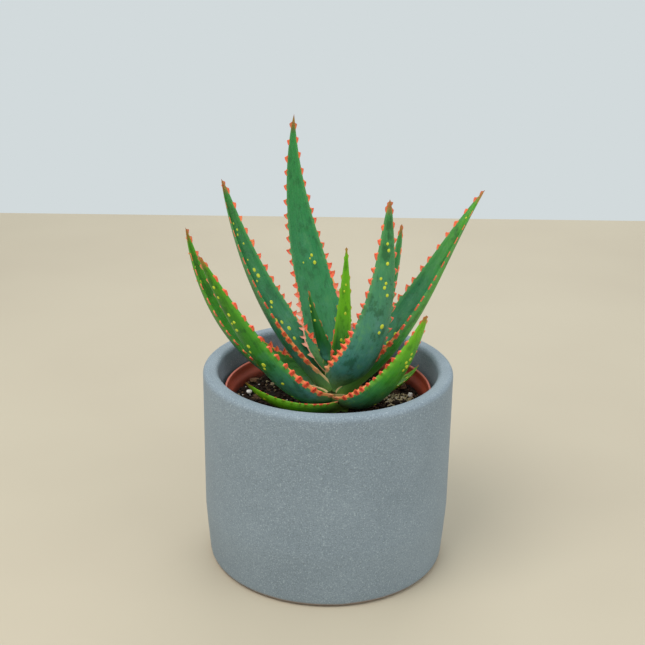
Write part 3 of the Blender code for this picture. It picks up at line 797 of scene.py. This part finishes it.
LOOKS = {
    "leaf_back_tall": varied(
        BLUE, seed=1.0, tip_teeth=False, tooth_mm=2.4, fullness=0.45, high=srgb(48, 136, 66),
        in_middle=srgb(40, 126, 70), in_low=srgb(62, 134, 86), base_teeth=srgb(244, 168, 142), cream=0.36,
        line=0.8, line_end=0.48, bloom=0.18, spotty=0.08,
        spots=spots_on(INNER, (0.45, -0.3, 1.7), (0.42, -0.36, 1.9), (0.44, -0.16, 1.0)),
    ),
    "leaf_left_tall": varied(
        BLUE, seed=2.0, fullness=2.4, breadth=1.2, channel=0.42, tooth_mm=2.3, middle=srgb(30, 108, 30),
        high=srgb(44, 118, 36), prickles=True,
        spots=spots_on(
            INNER, (0.8, 0.1, 1.2), (0.77, -0.15, 1.3), (0.58, -0.25, 2.0), (0.55, -0.35, 2.2),
            (0.53, -0.05, 1.3), (0.42, -0.3, 2.0), (0.4, -0.12, 1.4), (0.34, 0.1, 2.1), (0.32, -0.2, 1.9),
            (0.28, -0.38, 2.2), (0.26, 0.04, 1.6), (0.23, -0.3, 1.9)
        ),
    ),
    "leaf_left_front": varied(
        GREEN, seed=3.0, fullness=1.8, spotty=0.35,
        spots=spots_on(
            OUTER, (0.84, 0.1, 1.6), (0.79, -0.05, 1.4), (0.7, 0.12, 1.7), (0.66, 0.22, 1.5),
            (0.62, -0.02, 1.6), (0.53, 0.1, 1.9), (0.5, -0.12, 1.5), (0.42, 0.22, 2.2), (0.4, 0.05, 1.6)
        ),
    ),
    "leaf_left_long": varied(GREEN, seed=4.0, prickles=True, fullness=2.2, channel=0.25),
    "leaf_front_upright": varied(
        BLUE, seed=5.0, fullness=1.6, breadth=0.96, low=srgb(62, 122, 114), middle=srgb(66, 128, 98),
        high=srgb(58, 130, 66), mottle=0.6, bloom=0.4,
        spots=spots_on(
            OUTER, (0.8, -0.15, 1.4), (0.77, 0.05, 1.6), (0.71, 0.0, 1.7), (0.62, 0.02, 1.5),
            (0.6, -0.06, 1.7), (0.64, -0.45, 1.4), (0.42, 0.3, 2.3), (0.39, 0.22, 1.6)
        ),
    ),
    "leaf_right_long": varied(
        BLUE, seed=6.0, breadth=1.1, channel=0.42, low=srgb(56, 140, 52), middle=srgb(64, 152, 26),
        high=srgb(76, 154, 18), mottle=0.5,
        spots=spots_on(INNER, (0.3, 0.15, 2.0), (0.27, -0.05, 1.8), (0.25, 0.2, 1.6), (0.36, 0.0, 1.5)),
    ),
    "leaf_right_front": varied(
        LIME, seed=7.0, fullness=2.0, breadth=1.1, low=srgb(54, 120, 92), middle=srgb(64, 146, 44),
        spots=spots_on(
            OUTER, (0.66, 0.1, 2.0), (0.63, -0.15, 1.8), (0.6, 0.18, 2.2), (0.57, 0.0, 1.6),
            (0.7, -0.05, 1.5)
        ),
    ),
    "leaf_centre_young": varied(
        GREEN | SMALL_TEETH, seed=8.0, bloom=0.0, high=srgb(28, 98, 36), in_middle=srgb(20, 96, 44),
        middle=srgb(20, 92, 36), light=srgb(60, 130, 60), more_teeth=-1, spotty=0.5,
    ),
    "leaf_back_young": varied(
        LIME | SMALL_TEETH, seed=9.0, bloom=0.0, more_teeth=2, middle=srgb(96, 168, 34),
        in_middle=srgb(104, 174, 22),
    ),
    "leaf_right_back": varied(BLUE, seed=10.0, tooth_mm=1.5, fullness=2.4),
    "leaf_left_low": varied(
        LIME | SMALL_TEETH, seed=11.0, tooth_mm=1.3, line=0.05, spotty=0.1, fullness=2.2, breadth=1.6,
        low=srgb(60, 142, 44), middle=srgb(86, 174, 28), high=srgb(120, 192, 24),
        in_middle=srgb(84, 168, 28),
    ),
    "leaf_right_low": varied(LIME | SMALL_TEETH, seed=12.0, tooth_mm=0.8),
    "leaf_heart": varied(LIME | SMALL_TEETH, seed=13.0, cream=0.9, spotty=0.4),
}


def leaves():
    """Every packed leaf, grown fine round the stem's axis."""
    axis, _ = stem_circle()
    for node, look in LOOKS.items():
        dice = random.Random(int(look["seed"]))
        mesh = leaf_mesh(node + "_fine", LeafForm(node, axis, look), look, dice)
        add_piece(node + "_fine", mesh, leaf_material(node + "_skin", look), look["slot"], node)


# -------- pots


WAVER = 0.1 * MM
WAVER_PLACE = (1.4, 1.4, 18)  # how fast it changes round the pot and, per metre, up it


def planter():
    """The stoneware planter, turned finely, with the faint waver of a cast and sponged surface."""
    outline = rounded_outline(turned_profile("ceramic_planter", 0), 3 * MM)

    def waver(radius, angle, height):
        place = Vector((math.cos(angle), math.sin(angle), height)) * Vector(WAVER_PLACE)
        return WAVER * noise.noise(place) * min(1, radius / (20 * MM))

    mesh = turned_mesh("planter_body", outline, 240, waver)
    add_piece("planter_body", mesh, stoneware(), "planter", "ceramic_planter")


def nursery():
    """The thin plastic pot, turned finely."""
    outline = rounded_outline(turned_profile("nursery_pot", 30), 2.5 * MM, soft=32)
    mesh = turned_mesh("nursery_shell", outline, 192)
    add_piece("nursery_shell", mesh, terracotta_plastic(), "nursery_pot", "nursery_pot")


# -------- soil


SOIL_FOOT_SHARE = 0.76  # the soil's bottom radius over its top radius
SOIL_RINGS, SOIL_SIDES = 110, 300
SOIL_RING_POWER = 0.9  # under 1: its rings stand closer towards the rim
SOIL_BY_WALL = 0.4  # share of the small relief that is left beside the pot's wall
SUNK_SHARE = 0.25  # of each scattered lump's height
STEM_HEAP, HEAP_WIDTH = 0.8 * MM, 2 * MM  # soil drawn up round the stem
COARSE_LUMPS, FINE_LUMPS = (160, 0.75 * MM), (620, 0.28 * MM)  # (per metre, height)


def soil_level_reader():
    """A function that gives the packed soil's height at x and y."""
    shape = welded("potting_soil")
    tree = BVHTree.FromBMesh(shape)
    shape.free()
    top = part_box("potting_soil")[1].z

    def level(x, y):
        hit = tree.ray_cast(Vector((x, y, top + 5 * MM)), Vector((0, 0, -1)))[0]
        return hit.z if hit else top - 5 * MM

    return level


def lumpy(x, y):
    """The soil's small relief, in metres."""
    coarse = noise.fractal(Vector((x, y, 0)) * COARSE_LUMPS[0], 0.8, 2.1, 3)
    fine = noise.fractal(Vector((x, y, 5)) * FINE_LUMPS[0], 0.7, 2.0, 3)
    return COARSE_LUMPS[1] * coarse + FINE_LUMPS[1] * fine


def stem_circle():
    """The stem's middle in plan and its radius."""
    low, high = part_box("stem")
    return ((low + high) / 2).xy, (high.x - low.x) / 2


def soil(level, radius):
    """The plug of soil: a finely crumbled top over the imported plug's side and bottom."""
    rings, sides = SOIL_RINGS, SOIL_SIDES
    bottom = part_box("potting_soil")[0].z
    corners = []
    stem_place, stem_radius = stem_circle()
    angles = [2 * math.pi * k / sides for k in range(sides)]
    circle = [Vector((math.cos(angle), math.sin(angle))) for angle in angles]
    for ring in range(1, rings + 1):
        relief = 1 if ring < rings else SOIL_BY_WALL
        for turned in circle:
            place = radius * (ring / rings) ** SOIL_RING_POWER * turned
            away = place - stem_place
            from_stem = max(away.length - stem_radius, 0)
            probe = stem_place + away.normalized() * max(away.length, stem_radius + MM)
            height = level(*probe) + lumpy(*place) * relief + STEM_HEAP * math.exp(-from_stem / HEAP_WIDTH)
            corners.append((*place, height))
    corners += [(*(SOIL_FOOT_SHARE * radius * turned), bottom) for turned in circle]
    faces = list(ring_walls(rings + 1, sides, flip=True))
    close_ring(corners, faces, 0, sides, (0, 0, level(0, 0)), False)
    close_ring(corners, faces, rings * sides, sides, (0, 0, bottom), True)
    mesh = mesh_from("soil_bed", corners, faces)
    material = peat("peat", srgb(9, 6, 5), srgb(38, 27, 20))
    add_piece("soil_bed", mesh, material, "soil", "potting_soil")


def scatter(
    name, material, slot, count, sizes, level, radius, dice, middle=(0, 0), flat=0.75, rough=0.28, detail=1
):
    """Many small lumps sunk a little in the soil round a middle in mm, as one piece; sizes are in mm too."""
    stem_place, stem_radius = stem_circle()
    shape = bmesh.new()
    made = 0
    while made < count:
        angle, r = dice.uniform(0, 2 * math.pi), radius * math.sqrt(dice.random())
        x, y = middle[0] * MM + r * math.cos(angle), middle[1] * MM + r * math.sin(angle)
        if (Vector((x, y)) - stem_place).length < stem_radius + 0.5 * MM:
            continue
        made += 1
        size = dice.uniform(*sizes) * MM * dice.uniform(0.6, 1.0)
        low = len(shape.verts)
        bmesh.ops.create_icosphere(shape, subdivisions=detail, radius=0.5)
        shape.verts.ensure_lookup_table()
        stretch = Vector((1, dice.uniform(0.55, 1.0), dice.uniform(0.5, 0.9) * flat / 0.75)) * size
        turn = Matrix.Rotation(dice.uniform(0, 6.3), 3, "Z")
        turn = turn @ Matrix.Rotation(dice.uniform(-0.6, 0.6), 3, "X")
        rest = Vector((x, y, level(x, y) + lumpy(x, y) + (0.5 - SUNK_SHARE) * stretch.z))
        offset = Vector((dice.uniform(0, 50), dice.uniform(0, 50), 0))
        for v in shape.verts[low:]:
            relief = noise.noise(v.co * 2.4 + offset) + 0.5 * noise.noise(v.co * 5.5 + offset)
            v.co = turn @ (v.co * (1 + rough * relief) * stretch) + rest
    add_piece(name, mesh_of(name, shape), material, slot)


def fine_lump(node, material, slot, seed, layers=False):
    """A packed grain or chip as a finer, rougher lump in the same place and size."""
    low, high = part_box(node)
    middle, size = (low + high) / 2, high - low
    shape = bmesh.new()
    bmesh.ops.create_icosphere(shape, subdivisions=4, radius=0.5)
    offset = Vector((seed * 3.1, seed * 1.7, 0))
    for v in shape.verts:
        squared = Vector(math.copysign(abs(c) ** (0.7 if layers else 0.9), c) for c in v.co)
        grown = 0.92 + 0.22 * noise.noise(v.co * 2.6 + offset) + 0.1 * noise.noise(v.co * 7 + offset)
        if layers:  # bark splits in thin plates
            grown += 0.05 * math.sin(46 * v.co.z + 3 * noise.noise(v.co * 3 + offset))
        v.co = squared * grown
    biggest = [max(abs(v.co[i]) for v in shape.verts) for i in range(3)]
    for v in shape.verts:
        v.co = Vector(v.co[i] / biggest[i] * size[i] / 2 for i in range(3)) + middle
    name = node + "_fine"
    add_piece(name, mesh_of(name, shape), material, slot, node)


GRIT_PATCHES = {(37, 4): 170, (34, -14): 60, (-30, 26): 50}  # where in mm, and how many grains
PATCH_RADIUS = 9 * MM


def growing_medium():
    """The soil bed, its loose crumbs, fibres, grit and perlite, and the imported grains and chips."""
    level = soil_level_reader()
    low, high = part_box("potting_soil")
    radius = (high.x - low.x) / 2
    dice = random.Random(41)
    soil(level, radius)
    dark = peat("peat_crumb", srgb(10, 7, 5), srgb(54, 39, 29))
    brown = peat("peat_brown", srgb(40, 28, 20), srgb(118, 92, 68))
    white = mineral("perlite_white", srgb(232, 228, 220), srgb(170, 160, 146), 900)
    grit = mineral("grit_tan", srgb(168, 152, 118), srgb(84, 76, 56), 500)
    bark = bark_material()
    inside = radius - 1.2 * MM
    scatter("soil_crumbs", dark, "soil", 1500, (1.0, 3.6), level, inside, dice)
    scatter("soil_lumps", dark, "soil", 110, (3.0, 6.0), level, inside - 2 * MM, dice, detail=3, rough=0.5)
    scatter("soil_brown_crumbs", brown, "soil", 300, (0.8, 3.0), level, inside, dice)
    scatter("soil_fibres", brown, "soil", 90, (4.0, 9.0), level, inside - 3 * MM, dice, flat=0.16)
    scatter("perlite_fines", white, "perlite", 90, (0.6, 1.5), level, inside, dice)
    scatter("grit", grit, "soil", 110, (0.8, 2.4), level, inside, dice)
    for place, count in GRIT_PATCHES.items():
        near = f"{place[0]}_{place[1]}".replace("-", "m")
        patch = {"level": level, "radius": PATCH_RADIUS, "dice": dice, "middle": place}
        scatter("grit_patch_" + near, grit, "soil", count, (0.8, 2.8), detail=2, **patch)
        scatter("pale_patch_" + near, white, "perlite", count // 6, (0.6, 1.8), **patch)
    for node in sorted(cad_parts):
        if node.startswith("perlite_grain"):
            fine_lump(node, white, "perlite", int(node.rsplit("_", 1)[1]))
        elif node.startswith("bark_chip"):
            fine_lump(node, bark, "bark", 20 + int(node.rsplit("_", 1)[1]), layers=True)


SCAR_PITCH, SCAR_DEPTH = 1.9 * MM, 0.35 * MM
STEM_ROUGHNESS = 0.3 * MM


def stem():
    """The short stem, ringed with the scars of its first leaves."""
    middle, _ = stem_circle()
    shape = welded("stem")
    widest = {}
    for v in shape.verts:
        height = round(v.co.z, 5)
        widest[height] = max(widest.get(height, 0), (v.co.xy - middle).length)
    shape.free()
    heights = sorted(widest)
    fine = np.linspace(heights[0], heights[-1], 60)
    radii = np.interp(fine, heights, [widest[h] for h in heights])
    outline = [(0, fine[0]), *zip(radii[:-1], fine[:-1]), (0, fine[-1])]

    def scars(radius, angle, height):
        place = Vector((math.cos(angle), math.sin(angle), height * 260))
        ring = 0.5 + 0.5 * math.sin(height / SCAR_PITCH * 2 * math.pi + 1.6 * math.sin(angle))
        return -SCAR_DEPTH * ring**4 + STEM_ROUGHNESS * noise.noise(place)

    mesh = turned_mesh("stem_fine", outline, 72, scars)
    mesh.transform(Matrix.Translation((middle.x, middle.y, 0)))
    add_piece("stem_fine", mesh, stem_material(), "stem", "stem")


# -------- stage, light and camera

TARGET = Vector((-3.25, 0, 129.8)) * MM
DISTANCE = 603 * MM
ELEVATION = 20.56  # degrees above level
ROLL = 0.72  # degrees
LENS_MM = 65.47  # on a sensor 36 mm wide
LIGHT_AIM = Vector((0, 0, 100)) * MM
FLOOR_SIZE = 4
FLOOR_FAR_EDGE = 0.674
WALL = srgb(210, 218, 220)


def camera():
    """The viewing angle of the reference: a little above the rim, from the front."""
    lift, roll = math.radians(ELEVATION), math.radians(ROLL)
    back = Vector((0, -math.cos(lift), math.sin(lift)))
    right = Vector((1, 0, 0))
    up = right.cross(-back)
    turned_right = math.cos(roll) * right + math.sin(roll) * up
    turned_up = math.cos(roll) * up - math.sin(roll) * right
    data = bpy.data.cameras.new("camera")
    data.lens = LENS_MM
    data.clip_start = 10 * MM
    made = new_object("camera", data)
    axes = Matrix((turned_right, turned_up, back)).transposed()
    made.matrix_world = Matrix.Translation(TARGET + back * DISTANCE) @ axes.to_4x4()
    bpy.context.scene.camera = made


def area_light(name, place, width, watts, colour):
    """A square soft light aimed at the middle of the plant."""
    data = bpy.data.lights.new(name, "AREA")
    data.size = width
    data.energy = watts
    data.color = colour
    made = new_object(name, data)
    made.location = place
    aim = LIGHT_AIM - Vector(place)
    made.rotation_euler = aim.to_track_quat("-Z", "Y").to_euler()


def studio():
    """A plain pale table top, which ends before a plain pale wall, under soft light."""
    shape = bmesh.new()
    bmesh.ops.create_grid(shape, x_segments=2, y_segments=2, size=FLOOR_SIZE / 2)
    bmesh.ops.translate(shape, verts=shape.verts, vec=(0, FLOOR_FAR_EDGE - FLOOR_SIZE / 2, 0))
    mesh = mesh_of("floor", shape)
    g = Graph("floor_paint", roughness=0.8, specular=0.2)
    g.colour(g.ramp(g.noise(3), (0.3, srgb(186, 174, 154)), (0.7, srgb(194, 183, 162))))
    mesh.materials.append(g.material)
    floor = new_object("floor", mesh)

    world = bpy.data.worlds.new("soft_room")
    world.use_nodes = True
    world.node_tree.nodes["Background"].inputs["Color"].default_value = WALL
    bpy.context.scene.world = world
    area_light("key", (-0.45, -0.45, 1.0), 0.7, 7.5, (1.0, 0.98, 0.95))
    area_light("fill", (0.8, -0.5, 0.6), 0.8, 3, (0.94, 0.97, 1.0))
    area_light("back", (0.15, 0.9, 0.8), 0.8, 4, (0.95, 0.98, 1.0))
    bpy.context.scene.view_settings.view_transform = "Standard"


camera()
studio()
planter()
nursery()
growing_medium()
stem()
leaves()
